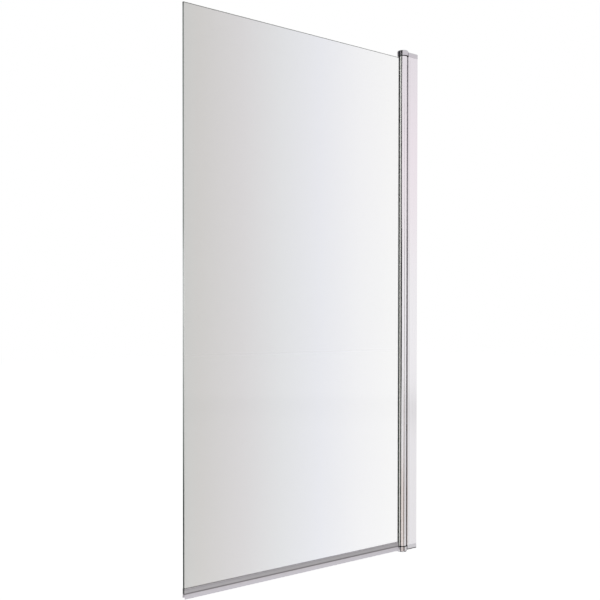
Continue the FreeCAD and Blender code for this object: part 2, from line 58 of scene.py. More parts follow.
# How far a tool passes beyond what it cuts, and how near a face or edge lies to its stated place.
PAST = 2 * MM
NEAR = 0.01 * MM
SNUG = 0.1 * MM
# How square to an axis a direction has to be, to count as along it.
SQUARE = 0.99
# How many faces go round a bar.
BARREL_SIDES, NOSE_SIDES, ROUND_SIDES, DOME_SIDES, BORE_SIDES, HOLE_SIDES = 144, 128, 96, 64, 48, 32
# Between which values noise runs from its least to its most.
NOISE_LOW, NOISE_HIGH = 0.3, 0.7
# Half a turn about the X axis, which brings a piece from the top end to the bottom end.
OVER = (math.pi, 0, 0)

log = logging.getLogger("bath_screen")

Piece = bpy.types.Object
Tree = bpy.types.NodeTree
Socket = bpy.types.NodeSocket
Test = Callable[[Vector, Vector], bool]
Point = tuple[float, float, float]
Spot = tuple[float, float]
Stops = tuple[tuple[float, str], ...]


class Side(Enum):
    """Which of the two bodies of the screen a piece rides on."""

    WALL = "wall_side"
    DOOR = "door"


class Slot(Enum):
    """The finishes of the record that a scene may repaint."""

    ALUMINIUM = "polished_aluminium"
    CHROME = "chrome_plate"
    STEEL = "steel_fastener"
    GLASS = "toughened_glass"
    SEAL = "clear_seal"
    GASKET = "grey_gasket"
    WIPER = "black_wiper"
    NYLON = "black_nylon"
    ACETAL = "pivot_nylon"


class Cut(Enum):
    """What a tool piece does to the piece it is applied to."""

    ADD = "UNION"
    REMOVE = "DIFFERENCE"


class Element(Enum):
    """What an edit-mode selection picks."""

    VERTEX = "VERT"
    EDGE = "EDGE"
    FACE = "FACE"


# ---- colour and nodes ----

def colour(code: str) -> tuple[float, float, float, float]:
    """Turn an sRGB hex code into the linear colour that shaders use.

    Args:
        code: six hex digits after a hash sign.

    Returns:
        Linear red, green and blue, and an alpha of one.
    """
    parts = [int(code[place:place + 2], 16) / 255 for place in (1, 3, 5)]
    linear = [p / 12.92 if p <= 0.04045 else ((p + 0.055) / 1.055) ** 2.4 for p in parts]
    return (linear[0], linear[1], linear[2], 1.0)


def add_node(tree: Tree, kind: str, settings: Optional[dict] = None,
             links: Optional[dict] = None) -> bpy.types.Node:
    """Add one node with its settings and its links.

    Args:
        tree: the node tree it goes into.
        kind: Blender's name of the node type, without the ShaderNode at its front.
        settings: values of its properties, or of its sockets by name or number.
        links: output sockets to join to its inputs, by name or number.

    Returns:
        The new node.
    """
    made = tree.nodes.new("ShaderNode" + kind)
    for name, value in (settings or {}).items():
        if isinstance(name, str) and hasattr(made, name):
            setattr(made, name, value)
        else:
            made.inputs[name].default_value = value
    for name, source in (links or {}).items():
        tree.links.new(source, made.inputs[name])
    return made


def new_material(name: str) -> tuple[bpy.types.Material, Tree]:
    """Start an empty node material.

    Args:
        name: what the finish is called.

    Returns:
        The material and its node tree, with no nodes in it.
    """
    made = bpy.data.materials.new(name)
    made.use_nodes = True
    made.node_tree.nodes.clear()
    return made, made.node_tree


def ramp(tree: Tree, source: Socket, stops: Stops) -> Socket:
    """Spread a row of colours over a value.

    Args:
        tree: the node tree it goes into.
        source: the value, from 0 to 1.
        stops: places on the value and their hex codes, in order.

    Returns:
        The colour socket.
    """
    made = add_node(tree, "ValToRGB", links={0: source})
    row = made.color_ramp.elements
    while len(row) < len(stops):
        row.new(0.5)
    for element, (place, code) in zip(row, stops):
        element.position = place
        element.color = colour(code)
    return made.outputs[0]


# ---- finishes ----

@dataclass(frozen=True)
class Finish:
    """A surface finish, made once and shared by the pieces that have it."""

    name: str
    slot: Slot

    def material(self) -> bpy.types.Material:
        """Find the finish's material, which is made when it is first asked for.

        Returns:
            The material.
        """
        ready = bpy.data.materials.get(self.name)
        if ready is None:
            ready, tree = new_material(self.name)
            add_node(tree, "OutputMaterial", links={"Surface": self.surface(tree)})
        return ready

    def surface(self, tree: Tree) -> Socket:
        """Lay out the finish's nodes and return its shader socket."""
        raise NotImplementedError

    def marks(self, tree: Tree, sizes: Point, detail: float = 2.0, fine: float = 0.5) -> Socket:
        """Lay small uneven marks all over the surface.

        Args:
            tree: the node tree.
            sizes: how long they are along X, Y and Z, in millimetres.
            detail: how many finer layers they have.
            fine: how strong the finer layers are.

        Returns:
            The socket of their height, from 0 to 1.
        """
        place = add_node(tree, "TexCoord")
        drawn = add_node(tree, "Mapping",
                         {"Scale": tuple(1 / (size * MM) for size in sizes)},
                         {"Vector": place.outputs["Object"]})
        noise = add_node(tree, "TexNoise",
                         {"Scale": 1.0, "Detail": detail, "Roughness": fine},
                         {"Vector": drawn.outputs[0]})
        return noise.outputs["Fac"]

    def tone_along(self, tree: Tree, axis: str, reach: Spot, stops: Stops) -> Socket:
        """Spread a row of tones along one axis of the screen.

        Args:
            tree: the node tree.
            axis: X, Y or Z.
            reach: where the row starts and ends on that axis.
            stops: places on the row, from 0 to 1, and their hex codes.

        Returns:
            The colour socket.
        """
        place = add_node(tree, "TexCoord")
        parts = add_node(tree, "SeparateXYZ", links={0: place.outputs["Object"]})
        along = add_node(tree, "MapRange", {"From Min": reach[0], "From Max": reach[1]},
                         {"Value": parts.outputs[axis]})
        return ramp(tree, along.outputs[0], stops)


@dataclass(frozen=True)
class Metal(Finish):
    """Bright metal with marks drawn out along the piece."""

    tint: str
    worn: str
    roughness: Spot
    mark: Point
    relief: float = 0.0

    def surface(self, tree: Tree) -> Socket:
        """Lay out the metal's nodes.

        Args:
            tree: the node tree.

        Returns:
            The shader socket.
        """
        marks = self.marks(tree, self.mark, 3.0, 0.6)
        tint = ramp(tree, marks, ((NOISE_LOW, self.worn), (NOISE_HIGH, self.tint)))
        rough = add_node(tree, "MapRange",
                         {"From Min": NOISE_LOW, "From Max": NOISE_HIGH,
                          "To Min": self.roughness[0], "To Max": self.roughness[1]},
                         {"Value": marks})
        shader = add_node(tree, "BsdfPrincipled", {"Metallic": 1.0},
                          {"Base Color": tint, "Roughness": rough.outputs[0]})
        if self.relief:
            bump = add_node(tree, "Bump",
                            {"Strength": 0.3, "Distance": self.relief * MM}, {"Height": marks})
            tree.links.new(bump.outputs[0], shader.inputs["Normal"])
        return shader.outputs[0]


@dataclass(frozen=True)
class FloatGlass(Finish):
    """Clear float glass, with a painted reflection: a grey that deepens evenly towards the free
    edge.
    """

    stops: Stops = (
        (0.0, "#C8C8C6"), (0.06, "#CCCAC8"), (0.23, "#D5D3D4"), (0.4, "#DEDFE1"),
        (0.58, "#E6E7EC"), (0.78, "#F0F0F2"), (0.96, "#F5F5F5"),
    )
    reach: Spot = (-785 * MM, -52 * MM)

    def surface(self, tree: Tree) -> Socket:
        """Lay out the glass's nodes, with a plain tint for the light that falls through it.

        Args:
            tree: the node tree.

        Returns:
            The shader socket.
        """
        # The grey that deepens towards the free edge is a painted reflection, laid on as the glass's
        # tint.
        painted_reflection_tint = self.tone_along(tree, "X", self.reach, self.stops)
        pane = add_node(tree, "BsdfPrincipled",
                        {"Transmission Weight": 1.0, "Roughness": 0.0, "IOR": 1.52},
                        {"Base Color": painted_reflection_tint})
        clear = add_node(tree, "BsdfTransparent", links={"Color": painted_reflection_tint})
        path = add_node(tree, "LightPath")
        both = add_node(tree, "MixShader",
                        links={0: path.outputs["Is Shadow Ray"], 1: pane.outputs[0],
                               2: clear.outputs[0]})
        return both.outputs[0]


@dataclass(frozen=True)
class Skin(Finish):
    """A finish that is a tint under the relief of its own fine marks.

    The grain is how long the marks are along X, Y and Z, in millimetres. The relief is how
    strongly they show and how deep they are, in millimetres. The gloss is the shader's own values.
    """

    grain: Point
    relief: Spot
    gloss: dict[str, float]

    def tint(self, tree: Tree, marks: Socket) -> Socket:
        """Lay out the tint's nodes and return its colour socket."""
        raise NotImplementedError

    def surface(self, tree: Tree) -> Socket:
        """Put the tint and the relief into one shader.

        Args:
            tree: the node tree.

        Returns:
            The shader socket.
        """
        marks = self.marks(tree, self.grain)
        bump = add_node(tree, "Bump",
                        {"Strength": self.relief[0], "Distance": self.relief[1] * MM},
                        {"Height": marks})
        shader = add_node(tree, "BsdfPrincipled", self.gloss,
                          {"Base Color": self.tint(tree, marks), "Normal": bump.outputs[0]})
        return shader.outputs[0]


@dataclass(frozen=True)
class Mottled(Skin):
    """Rubber or moulded plastic whose tone wavers a little with its marks."""

    tone: str
    shade: str

    def tint(self, tree: Tree, marks: Socket) -> Socket:
        """Lay out the tint's nodes and return its colour socket."""
        return ramp(tree, marks, ((NOISE_LOW, self.shade), (NOISE_HIGH, self.tone)))


@dataclass(frozen=True)
class Banded(Skin):
    """A half-clear surface with light and shade painted on in bands by height."""

    reach: Spot
    stops: Stops

    def tint(self, tree: Tree, marks: Socket) -> Socket:
        """Lay out the tint's nodes and return its colour socket."""
        return self.tone_along(tree, "Z", self.reach, self.stops)


@dataclass(frozen=True)
class PocketShade(Skin):
    """A pale lip round the outside on a foot painted dark as the shade in the barrel's pocket: the
    tone turns at a distance from the pivot.
    """

    lip: str
    foot: str
    turn: float
    reach: float = 20 * MM
    blend: float = 0.01

    def tint(self, tree: Tree, marks: Socket) -> Socket:
        """Lay out the tint's nodes.

        Args:
            tree: the node tree.
            marks: the socket of the marks' height, which it leaves alone.

        Returns:
            The colour socket.
        """
        place = add_node(tree, "TexCoord")
        centred = add_node(tree, "Mapping",
                           {"Location": (-PIVOT_X, 0, 0), "Scale": (1, 1, 0)},
                           {"Vector": place.outputs["Object"]})
        out = add_node(tree, "VectorMath", {"operation": "LENGTH"},
                       {0: centred.outputs[0]})
        share = add_node(tree, "MapRange", {"From Max": self.reach},
                         {"Value": out.outputs["Value"]})
        # The foot inside the pocket gets the dark tone: painted shade in the recess.
        join = self.turn / self.reach
        return ramp(tree, share.outputs[0],
                    ((join - self.blend, self.foot), (join + self.blend, self.lip)))


# Extruded aluminium, bright-polished and clear-anodised: a soft mirror with die lines along it.
POLISHED_ALUMINIUM = Metal("bright_anodised_aluminium", Slot.ALUMINIUM, "#EFEDF0", "#ECEAED",
                           (0.10, 0.17), (0.8, 0.8, 120.0))
# Zinc casting under bright chrome: a hard, cool mirror with the faintest waves left by the mould.
CHROME = Metal("bright_chrome_on_zinc", Slot.CHROME, "#D4D2D6", "#CECCD0", (0.04, 0.07),
               (5.0, 5.0, 5.0), 0.02)
# Cold-headed stainless steel: greyer than chrome, with a satin, slightly blurred reflection.
STAINLESS = Metal("cold_headed_stainless", Slot.STEEL, "#C4C3C2", "#B4B3B2", (0.22, 0.32),
                  (0.6, 0.6, 0.6), 0.01)
# Extruded flexible PVC: smoky lilac with a soft shine; its tone by height is painted shade, darkest
# in a band at the web under the glass and greyer over the channel than on the fins.
CLEAR_VINYL = Banded(
    "clear_flexible_vinyl", Slot.SEAL, (60.0, 0.8, 0.8), (0.4, 0.03),
    {"Roughness": 0.3, "IOR": 1.53, "Transmission Weight": 0.12}, (-713.5 * MM, -688 * MM),
    ((0.0, "#DCD9E0"), (0.44, "#DDD8DE"), (0.475, "#878386"), (0.57, "#898588"),
     (0.605, "#C0BDC0"), (0.82, "#BEBBBE"), (0.86, "#B2AEB2"), (1.0, "#B8B4B8")))
# Glazing gasket: a pale, dull lip against the glass; its foot in the pocket is painted dark, as
# painted shade in the recess.
GLAZING_GASKET = PocketShade("glazing_gasket_painted_pocket_shade", Slot.GASKET, (1.5,) * 3, (0.3, 0.02),
                         {"Roughness": 0.42, "IOR": 1.5}, "#E6E7E2", "#2C302B", 12.7 * MM)
# Glazing wedge, pressed in behind the glass: dull; its green-black is painted shade, for the shade
# it lies in behind the glass.
SHADED_GLAZING_WEDGE = Mottled("glazing_wedge_painted_shade", Slot.GASKET, (0.8,) * 3, (0.4, 0.02),
                        {"Roughness": 0.6, "IOR": 1.5}, "#303832", "#262D28")
# EPDM rubber wiper strip: matt black that takes light only at a flat angle.
WIPER_RUBBER = Mottled("black_wiper_rubber", Slot.WIPER, (0.8,) * 3, (0.4, 0.02),
                       {"Roughness": 0.75, "IOR": 1.5}, "#1E1E1E", "#151515")
# Glass-filled nylon, injection moulded: black with a fine spark-eroded skin.
BLACK_NYLON = Mottled("black_moulded_nylon", Slot.NYLON, (0.6,) * 3, (0.4, 0.02),
                      {"Roughness": 0.55, "IOR": 1.53}, "#1C1C1D", "#141415")
# Natural acetal, turned: milky white and a little waxy.
ACETAL = Mottled("natural_acetal", Slot.ACETAL, (1.2,) * 3, (0.4, 0.01),
                 {"Roughness": 0.38, "IOR": 1.48, "Subsurface Weight": 0.2,
                  "Subsurface Scale": 2 * MM}, "#E4E3DC", "#DAD9D1")
# Float glass, toughened: clear and mirror-smooth, with a painted reflection, a grey that deepens to
# the free edge.
CLEAR_GLASS = FloatGlass("clear_toughened_glass", Slot.GLASS)
# The same glass where the edge was ground flat: satin and grey-green; its bands by height are a
# painted reflection, dark at its foot and head and near-white a little below its middle.
GROUND_GLASS = Banded(
    "ground_glass_edge", Slot.GLASS, (0.6,) * 3, (0.3, 0.02),
    {"Roughness": 0.35, "IOR": 1.52, "Transmission Weight": 0.25}, (-700 * MM, 700 * MM),
    ((0.0, "#3C423F"), (0.15, "#454B48"), (0.24, "#8C928F"), (0.36, "#C4C9C6"),
     (0.48, "#F4F7F5"), (0.55, "#EDF1EF"), (0.62, "#B2B8B5"), (0.988, "#949A97"),
     (0.995, "#626865")))


# ---- modelling bench ----

def select_only(piece: Piece) -> None:
    """Make a piece the only one selected, and the active one."""
    bpy.ops.object.select_all(action="DESELECT")
    piece.select_set(True)
    bpy.context.view_layer.objects.active = piece


def open_mesh(piece: Piece) -> None:
    """Open a piece in edit mode, with no other piece selected."""
    select_only(piece)
    bpy.ops.object.mode_set(mode="EDIT")


def pick_all() -> None:
    """Select the whole of the open mesh."""
    bpy.ops.mesh.select_all(action="SELECT")


def close_mesh() -> None:
    """Leave edit mode."""
    bpy.ops.object.mode_set(mode="OBJECT")


def pick(piece: Piece, element: Element, test: Test) -> None:
    """Select the parts of the open mesh that pass a test, and nothing else.

    Args:
        piece: the object in edit mode.
        element: whether vertices, edges or faces are picked.
        test: takes the middle, and the normal or an edge's direction.
    """
    bpy.ops.mesh.select_mode(type=element.value)
    bpy.ops.mesh.select_all(action="DESELECT")
    mesh = bmesh.from_edit_mesh(piece.data)
    mesh.normal_update()
    if element is Element.EDGE:
        found = [(e, (e.verts[0].co + e.verts[1].co) / 2,
                  (e.verts[1].co - e.verts[0].co).normalized()) for e in mesh.edges]
    else:
        found = [(f, f.calc_center_median(), f.normal) for f in mesh.faces]
    for part, middle, way in found:
        if test(middle, way):
            part.select_set(True)
    mesh.select_flush_mode()
    bmesh.update_edit_mesh(piece.data)


def extrude(*way: float) -> None:
    """Draw the picked parts of the open mesh out along X, Y and Z."""
    bpy.ops.mesh.extrude_region_move(TRANSFORM_OT_translate={"value": way})


def bevel_edges(piece: Piece, test: Test, width: float, segments: int) -> None:
    """Bevel the edges of a piece that pass a test.

    Args:
        piece: the piece to change.
        test: takes an edge's middle and its direction.
        width: how far the bevel reaches from the edge.
        segments: how many faces it has across; with more than one it is round.
    """
    open_mesh(piece)
    pick(piece, Element.EDGE, test)
    bpy.ops.mesh.bevel(offset=width, segments=segments)
    close_mesh()


def settle(piece: Piece) -> Piece:
    """Put a piece's place into its mesh, so that its object sits at the origin.

    Args:
        piece: a new piece, still placed by its object.

    Returns:
        The same piece.
    """
    select_only(piece)
    bpy.ops.object.transform_apply()
    return piece


def fresh(name: str, add: Callable, **settings: object) -> Piece:
    """Add one of Blender's primitives, with nothing else selected.

    Args:
        name: the piece's name.
        add: the operator that adds it.
        settings: the operator's settings.

    Returns:
        The new piece.
    """
    bpy.ops.object.select_all(action="DESELECT")
    add(**settings)
    made = bpy.context.active_object
    made.name = name
    return made


def block(name: str, low: Point, high: Point) -> Piece:
    """Add a block between two corners.

    Args:
        name: the piece's name.
        low: its lowest corner.
        high: its highest corner.

    Returns:
        The block, with its place in its mesh.
    """
    made = fresh(name, bpy.ops.mesh.primitive_cube_add, size=1.0,
                 location=[(a + b) / 2 for a, b in zip(low, high)])
    made.scale = [b - a for a, b in zip(low, high)]
    return settle(made)


def drum(name: str, radius: float, start: Point, stop: Point, sides: int) -> Piece:
    """Add a round bar between the middles of its two ends.

    Args:
        name: the piece's name.
        radius: its radius.
        start: the middle of one end.
        stop: the middle of the other end.
        sides: how many faces go round it.

    Returns:
        The bar, with its place in its mesh.
    """
    low, high = Vector(start), Vector(stop)
    way = high - low
    turn = Vector((0, 0, 1)).rotation_difference(way.normalized()).to_euler()
    return settle(fresh(name, bpy.ops.mesh.primitive_cylinder_add, vertices=sides, radius=radius,
                        depth=way.length, location=(low + high) / 2, rotation=turn))


def panel(name: str, middle: Iterable[float], turn: Point, size: Spot) -> Piece:
    """Add a flat panel, placed by its object.

    Args:
        name: the piece's name.
        middle: where its middle is.
        turn: how it is turned about X, Y and Z, in radians.
        size: its width and its length.

    Returns:
        The panel.
    """
    made = fresh(name, bpy.ops.mesh.primitive_plane_add, size=1.0, location=tuple(middle),
                 rotation=turn)
    made.scale = (*size, 1)
    return made


def copied(piece: Piece, **place: object) -> Piece:
    """Copy a piece to another place, with its own mesh.

    Args:
        piece: what is copied.
        place: the copy's name, location or rotation_euler.

    Returns:
        The copy, with its place in its mesh.
    """
    select_only(piece)
    bpy.ops.object.duplicate()
    made = bpy.context.active_object
    for name, value in place.items():
        setattr(made, name, value)
    return settle(made)


def join(piece: Piece, others: Iterable[Piece]) -> None:
    """Join finished parts of one piece into it.

    Args:
        piece: the part that keeps its name.
        others: the parts that go into it.
    """
    select_only(piece)
    for other in others:
        other.select_set(True)
    bpy.ops.object.join()


def apply(piece: Piece, kind: str, **settings: object) -> None:
    """Give a piece a modifier and apply it.

    Args:
        piece: the piece to change.
        kind: Blender's name of the modifier type.
        settings: the modifier's settings.
    """
    select_only(piece)
    modifier = piece.modifiers.new(kind.lower(), kind)
    for name, value in settings.items():
        setattr(modifier, name, value)
    bpy.ops.object.modifier_apply(modifier=modifier.name)


def work(piece: Piece, cut: Cut, *tools: Piece) -> None:
    """Add tool pieces to a piece, or cut them out of it, and put the tools away.

    Args:
        piece: the piece to change.
        cut: whether the tools are added or taken out.
        tools: the tool pieces.
    """
    for tool in tools:
        apply(piece, "BOOLEAN", object=tool, operation=cut.value, solver="EXACT")
        bpy.data.objects.remove(tool)


def smooth(piece: Piece, degrees: float = 32.0) -> None:
    """Shade a piece smooth across its gentle edges only."""
    select_only(piece)
    bpy.ops.object.shade_smooth_by_angle(angle=math.radians(degrees))


def ease_edges(piece: Piece, width: float) -> None:
    """Take the sharpness off a piece's edges, as tumbling or polishing does.

    Args:
        piece: the piece to change.
        width: how wide the eased edge is.
    """
    apply(piece, "BEVEL", width=width, segments=2, limit_method="ANGLE",
          angle_limit=math.radians(32))
    smooth(piece)
    apply(piece, "WEIGHTED_NORMAL", keep_sharp=True, weight=80)


def place_on(piece: Piece, side: Side, finish: Finish, node: str) -> None:
    """Finish a piece: its material, the body it rides on, and the node it stands for.

    Args:
        piece: the finished mesh.
        side: the body that carries it.
        finish: what it is made of.
        node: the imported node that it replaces.
    """
    if not piece.data.materials:
        piece.data.materials.append(finish.material())
    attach(piece, side.value)
    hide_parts(node)
    log.info("%s: %d faces, rides on %s", piece.name, len(piece.data.polygons), side.value)


# ---- the pieces ----

@dataclass
class PivotBarrel:
    """The round extrusion that grips the glass and turns about the pivots."""

    radius: float = 14 * MM
    half_height: float = 700 * MM
    bore: float = 4.2 * MM
    pocket_half: float = 6.8 * MM
    pocket_floor: float = 5.6 * MM
    mouth_rounding: float = 1.6 * MM
    hollow: Spot = (6.2 * MM, 12.2 * MM)
    hollow_half_angle: float = 108.0

    def dress(self) -> None:
        """Model the barrel and give it its finish."""
        end, past_end = self.half_height, self.half_height + PAST
        barrel = drum("barrel_shell", self.radius, (PIVOT_X, 0, -end), (PIVOT_X, 0, end),
                      BARREL_SIDES)
        pocket = block("pocket_tool", (PIVOT_X - self.radius - PAST, -self.pocket_half, -past_end),
                       (PIVOT_X - self.pocket_floor, self.pocket_half, past_end))
        bore = drum("bore_tool", self.bore, (PIVOT_X, 0, -past_end), (PIVOT_X, 0, past_end),
                    BORE_SIDES)
        work(barrel, Cut.REMOVE, pocket, bore, self.hollow_tool())
        mouth = PIVOT_X - math.sqrt(self.radius ** 2 - self.pocket_half ** 2)
        bevel_edges(barrel, lambda at, way: abs(way.z) > SQUARE and abs(at.x - mouth) < SNUG
                    and abs(abs(at.y) - self.pocket_half) < SNUG, self.mouth_rounding, 6)
        smooth(barrel)
        place_on(barrel, Side.DOOR, POLISHED_ALUMINIUM, "pivot_barrel")

    def hollow_tool(self) -> Piece:
        """Turn the section of the barrel's hollow back about the pivot axis.

        Returns:
            The tool, closed.
        """
        low, high = self.hollow
        middle, start = (low + high) / 2, -math.radians(self.hollow_half_angle)
        at = (PIVOT_X + middle * math.cos(start), middle * math.sin(start), 0)
        made = settle(panel("hollow_tool", at, (math.pi / 2, 0, start),
                            (high - low, 2 * (self.half_height + PAST))))
        open_mesh(made)
        pick_all()
        # spin turns clockwise for a positive angle, so a negative one goes on from the start.
        bpy.ops.mesh.spin(steps=72, angle=2 * start, center=(PIVOT_X, 0, 0), axis=(0, 0, 1))
        pick_all()
        bpy.ops.mesh.remove_doubles(threshold=0.001 * MM)
        bpy.ops.mesh.normals_make_consistent()
        close_mesh()
        return made


@dataclass
class EndCaps:
    """The two bullet-shaped caps: a round nose over the barrel, a straight arm to the wall.

    Heights are measured from the channel's end. The seat is the blind hole for the pivot pin, and
    the spigot fits into the mouth of the channel.
    """

    nose_radius: float = 16 * MM
    nose_face: float = 2.7 * MM
    nose_top: float = 18 * MM
    rounding: float = 3.5 * MM
    arm_half: float = 15.5 * MM
    arm_top: float = 13.5 * MM
    arm_reach: Spot = (-37 * MM, -0.2 * MM)
    cradle: float = 14.8 * MM
    seat_radius: float = 3 * MM
    seat_depth: float = 9 * MM
    screw_way: float = 2.1 * MM
    sink_radius: float = 3.25 * MM
    sink_depth: float = 1.6 * MM
    spigot_reach: Spot = (-9.7 * MM, -2.2 * MM)
    spigot_half: float = 13.3 * MM
    spigot_drop: float = 8 * MM
    edge: float = 0.25 * MM

    def arm(self) -> Piece:
        """Model the arm, with its two long upper edges rounded and room for the barrel.

        Returns:
            The arm.
        """
        start, stop = self.arm_reach
        arm = block("top_cap_shell", (start, -self.arm_half, CHANNEL_END),
                    (stop, self.arm_half, CHANNEL_END + self.arm_top))
        half_way_up = CHANNEL_END + self.arm_top / 2
        bevel_edges(arm, lambda at, way: abs(way.x) > SQUARE and at.z > half_way_up,
                    self.rounding, 8)
        work(arm, Cut.REMOVE, drum("room_tool", self.cradle, (PIVOT_X, 0, CHANNEL_END - PAST),
                                   (PIVOT_X, 0, CHANNEL_END + self.nose_face), ROUND_SIDES))
        return arm

    def nose(self) -> Piece:
        """Model the nose, with its top rim rounded over.

        Returns:
            The nose.
        """
        face, top = CHANNEL_END + self.nose_face, CHANNEL_END + self.nose_top
        nose = drum("nose_start", self.nose_radius, (PIVOT_X, 0, face), (PIVOT_X, 0, top),
                    NOSE_SIDES)
        bevel_edges(nose, lambda at, way: abs(at.z - top) < NEAR, self.rounding, 10)
        return nose

    def dress(self) -> None:
        """Model the top cap, turn a copy over for the bottom one and give both their finish."""
        cap, face, top = self.arm(), CHANNEL_END + self.nose_face, CHANNEL_END + self.arm_top
        (start, stop), half = self.spigot_reach, self.spigot_half
        spigot = block("spigot_start", (start, -half, CHANNEL_END - self.spigot_drop),
                       (stop, half, face))
        work(cap, Cut.ADD, self.nose(), spigot)
        work(cap, Cut.REMOVE, drum("seat_tool", self.seat_radius, (PIVOT_X, 0, CHANNEL_END),
                                   (PIVOT_X, 0, face + self.seat_depth), BORE_SIDES))
        low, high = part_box("cap_screws")
        x, reach = (low.x + high.x) / 2, (high.y - low.y - (high.x - low.x)) / 2
        for y in (-reach, reach):
            work(cap, Cut.REMOVE,
                 drum("way_tool", self.screw_way, (x, y, CHANNEL_END - PAST), (x, y, top + PAST),
                      HOLE_SIDES),
                 drum("sink_tool", self.sink_radius, (x, y, top - self.sink_depth),
                      (x, y, top + PAST), BORE_SIDES))
        ease_edges(cap, self.edge)
        bottom = copied(cap, name="bottom_cap_shell", rotation_euler=OVER)
        place_on(cap, Side.WALL, CHROME, "top_cap")
        place_on(bottom, Side.WALL, CHROME, "bottom_cap")


@dataclass
class GlassPane:
    """The toughened glass, with flat-ground edges, a hair under its nominal thickness."""

    left: float = -785 * MM
    right: float = -51.7 * MM
    foot: float = -699 * MM
    head: float = 696 * MM
    half: float = 2.98 * MM
    arris: float = 0.56 * MM

    def dress(self) -> None:
        """Model the pane and give its faces and its edges their own glass."""
        pane = block("glass_pane", (self.left, -self.half, self.foot),
                     (self.right, self.half, self.head))
        bevel_edges(pane, lambda at, way: abs(abs(at.y) - self.half) < NEAR, self.arris, 1)
        for finish in (CLEAR_GLASS, GROUND_GLASS):
            pane.data.materials.append(finish.material())
        open_mesh(pane)
        pick(pane, Element.FACE, lambda at, way: abs(way.y) < SQUARE)
        pane.active_material_index = 1
        bpy.ops.object.material_slot_assign()
        close_mesh()
        place_on(pane, Side.DOOR, CLEAR_GLASS, "glass_panel")


@dataclass
class FootSeal:
    """The push-on seal along the foot of the glass: a channel and three soft hanging fins.

    Each fin has its name, the leg it hangs under (-1, 0 or 1), its drop and its splay.
    """

    left: float = -785 * MM
    right: float = -63 * MM
    web: float = -699.62 * MM
    head: float = -688 * MM
    inner_half: float = 3.02 * MM
    wall: float = 0.98 * MM
    bead_wall: float = 0.9 * MM
    bead_proud: float = 0.25 * MM
    bead_reach: Spot = (-0.1 * MM, -3.6 * MM)
    fin_wall: float = 0.8 * MM
    fin_steps: int = 6
    fin_curl: float = 1.8
    fins: tuple[tuple[str, int, float, float], ...] = (
        ("fin_front", -1, 13 * MM, -1.9 * MM), ("fin_middle", 0, 9.3 * MM, 0.0),
        ("fin_rear", 1, 10.8 * MM, 0.7 * MM),
    )
    edge: float = 0.25 * MM
    edge_share: float = 0.3

    def strip(self, name: str, line: list[Spot], thickness: float) -> Piece:
        """Draw a section's line upright, draw it out along the glass and thicken it.

        Args:
            name: the strip's name.
            line: points of the section, as (y, z).
            thickness: how thick the strip is.

        Returns:
            The strip, closed and with its place in its mesh.
        """
        (y, z), *others = line
        made = panel(name, (0, 0, 0), (0, 0, 0), (1, 1))
        open_mesh(made)
        bpy.ops.mesh.select_mode(type=Element.VERTEX.value)
        pick_all()
        bpy.ops.mesh.merge(type="CENTER")
        bpy.ops.transform.translate(value=(self.left, y, z))
        for across, up in others:
            extrude(0, across - y, up - z)
            y, z = across, up
        pick_all()
        extrude(self.right - self.left, 0, 0)
        pick_all()
        bpy.ops.mesh.normals_make_consistent()
        close_mesh()
        apply(made, "SOLIDIFY", thickness=thickness, offset=0.0, use_even_offset=True)
        apply(made, "BEVEL", width=min(self.edge, thickness * self.edge_share), segments=2,
              limit_method="ANGLE", angle_limit=math.radians(50))
        return made

    def fin_line(self, y: float, drop: float, splay: float) -> list[Spot]:
        """Find the line of a fin that hangs straight at first and curls outwards.

        Args:
            y: where it leaves the web.
            drop: how far down it reaches.
            splay: how far out its tip is.

        Returns:
            Its points, as (y, z).
        """
        steps = [index / self.fin_steps for index in range(self.fin_steps + 1)]
        return [(y + splay * step ** self.fin_curl, self.web - drop * step) for step in steps]

    def dress(self) -> None:
        """Model the seal and give it its finish."""
        middle, web, head = self.inner_half + self.wall / 2, self.web, self.head
        seal = self.strip("foot_seal_profile",
                          [(-middle, head), (-middle, web), (middle, web), (middle, head)],
                          self.wall)
        parts = []
        for name, side in (("bead_front", -1), ("bead_rear", 1)):
            y = side * (middle + self.bead_proud)
            parts.append(self.strip(name, [(y, head + z) for z in self.bead_reach],
                                    self.bead_wall))
        for name, side, drop, splay in self.fins:
            parts.append(self.strip(name, self.fin_line(side * middle, drop, splay),
                                    self.fin_wall))
        join(seal, parts)
        smooth(seal)
        place_on(seal, Side.DOOR, CLEAR_VINYL, "bottom_seal")


@dataclass
class ScrewCovers:
    """The three domed covers pushed over the locking screws on the bath side.

    Each row of the dome has its share of the height and how far it draws in.
    """

    face: float = 15 * MM
    radius: float = 5.5 * MM
    height: float = 3.2 * MM
    rim: float = 0.45
    dome: tuple[Spot, ...] = ((0.24, 0.93), (0.17, 0.83), (0.1, 0.7), (0.04, 0.4))
    wall: float = 0.9 * MM
    reach: float = 500 * MM

    def dress(self) -> None:
        """Model one cover, set out the three as one piece and give it its finish."""
        low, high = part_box("screw_cover_caps")
        x, top = (low.x + high.x) / 2, self.face + self.height * self.rim
        cover = drum("screw_cover_domes", self.radius, (x, self.face, 0), (x, top, 0), DOME_SIDES)
        open_mesh(cover)
        pick(cover, Element.FACE, lambda at, way: way.y > SQUARE and abs(at.y - top) < NEAR)
        for rise, shrink in self.dome:
            extrude(0, rise * self.height, 0)
            bpy.ops.transform.resize(value=(shrink, 1, shrink), center_override=(x, self.face, 0))
        close_mesh()
        work(cover, Cut.REMOVE,
             drum("cover_hollow_tool", self.radius - self.wall, (x, self.face - PAST, 0),
                  (x, self.face + self.height - self.wall, 0), BORE_SIDES))
        smooth(cover, 40.0)
        join(cover, [copied(cover, location=(0, 0, z)) for z in (self.reach, -self.reach)])
        place_on(cover, Side.WALL, CHROME, "screw_cover_caps")


